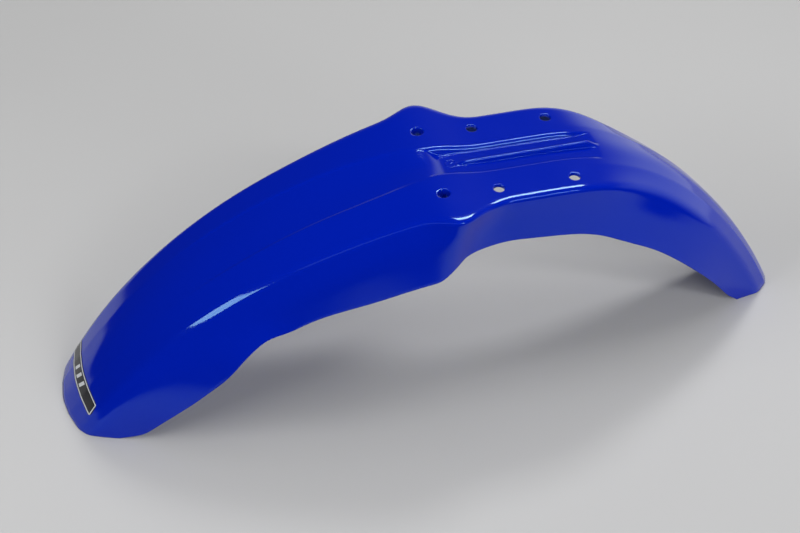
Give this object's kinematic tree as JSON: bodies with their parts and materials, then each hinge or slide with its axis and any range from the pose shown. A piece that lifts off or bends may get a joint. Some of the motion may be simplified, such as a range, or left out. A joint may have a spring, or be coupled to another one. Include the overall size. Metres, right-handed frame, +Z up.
{
  "type": "motorcycle front mudguard",
  "caption": "Moulded front mudguard for an off-road motorcycle: arched hood with flared nose, flat drilled mount with a ribbed recess, side skirts and tapering tail; plain strip on the nose.",
  "frame": {"origin": "middle of the four-hole bolt pattern, on the flat top face of the mount", "axes": "+X forward towards the nose, +Y to the rider's left, +Z up along the bolts and square to the mount"},
  "size_m": [0.7008, 0.1852, 0.2138],
  "materials": {
    "blue_plastic": "glossy moulded polypropylene in deep blue, coloured through",
    "decal_vinyl": "thin printed vinyl, dark grey with a pale border and pale bars"
  },
  "bodies": {
    "root": {"mudguard": "blue_plastic", "nose_decal": "decal_vinyl"}
  },
  "joints": []
}
